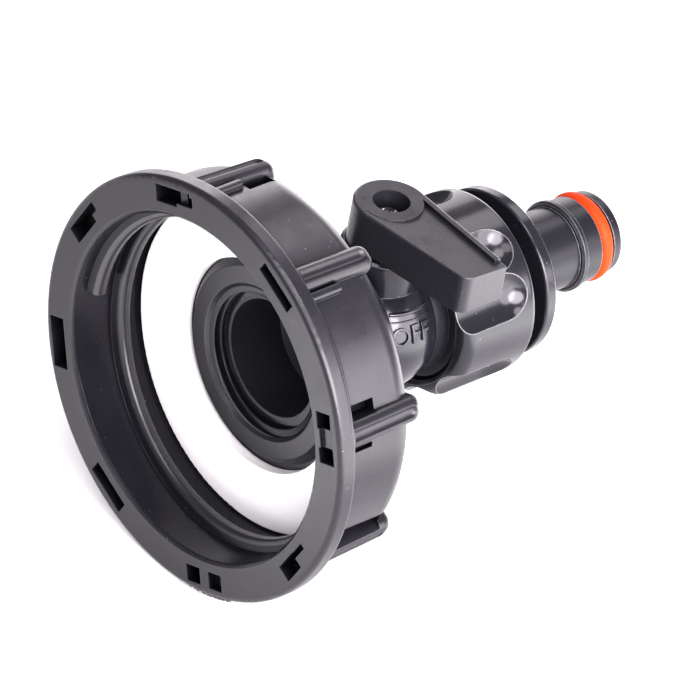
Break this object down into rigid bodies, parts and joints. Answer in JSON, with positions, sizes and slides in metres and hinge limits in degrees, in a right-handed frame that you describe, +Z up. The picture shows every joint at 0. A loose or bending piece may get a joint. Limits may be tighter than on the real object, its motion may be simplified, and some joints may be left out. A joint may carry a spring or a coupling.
{
  "type": "ibc tap adapter",
  "caption": "Tank outlet adapter: a coarse-threaded screw cap, a small lever ball valve and a quick-connect hose nipple held by a scalloped union nut.",
  "frame": {"origin": "middle of the cap's open front face, on the flow axis", "axes": "+X along the flow, from the open cap to the tip of the hose nipple; +Z up the valve stem, from the flow axis to the lever; the lever lies along -Y while the valve is shut"},
  "size_m": [0.0918, 0.0746, 0.0746],
  "materials": {
    "cap_plastic": "dark grey moulded plastic, satin",
    "valve_plastic": "dark grey moulded plastic, semi-gloss",
    "nut_plastic": "dark grey moulded plastic, semi-gloss",
    "lever_plastic": "mid-grey moulded plastic, fine satin",
    "white_rubber": "soft white sealing rubber",
    "black_rubber": "black sealing rubber",
    "orange_rubber": "orange silicone rubber",
    "seat_plastic": "off-white slippery sealing plastic",
    "ball_plastic": "black moulded plastic, polished",
    "screw_steel": "bright zinc-plated steel"
  },
  "bodies": {
    "cap": {"tank_cap": "cap_plastic", "cap_gasket": "white_rubber", "inlet_washer": "black_rubber", "valve_body": "valve_plastic", "inlet_seat": "seat_plastic", "outlet_seat": "seat_plastic", "seat_carrier": "valve_plastic", "carrier_o_ring": "black_rubber", "stem_washer": "seat_plastic", "nipple_washer": "black_rubber"},
    "lever": {"lever": "lever_plastic", "lever_screw": "screw_steel", "stem": "ball_plastic", "ball": "ball_plastic", "lower_stem_o_ring": "black_rubber", "upper_stem_o_ring": "black_rubber"},
    "nut": {"swivel_nut": "nut_plastic"},
    "nipple": {"hose_nipple": "nut_plastic", "snap_ring": "seat_plastic", "nipple_o_ring": "orange_rubber"}
  },
  "joints": [
    {"name": "lever_turn", "type": "hinge", "parent": "cap", "child": "lever", "pos_m": [0.0398, 0, 0.0205], "axis": [0, 0, 1], "range_deg": [0, 90]},
    {"name": "nut_spin", "type": "hinge", "parent": "cap", "child": "nut", "pos_m": [0.0551, 0, 0], "axis": [1, 0, 0], "continuous": true},
    {"name": "nipple_swivel", "type": "hinge", "parent": "nut", "child": "nipple", "pos_m": [0.0626, 0, 0], "axis": [1, 0, 0], "continuous": true}
  ]
}
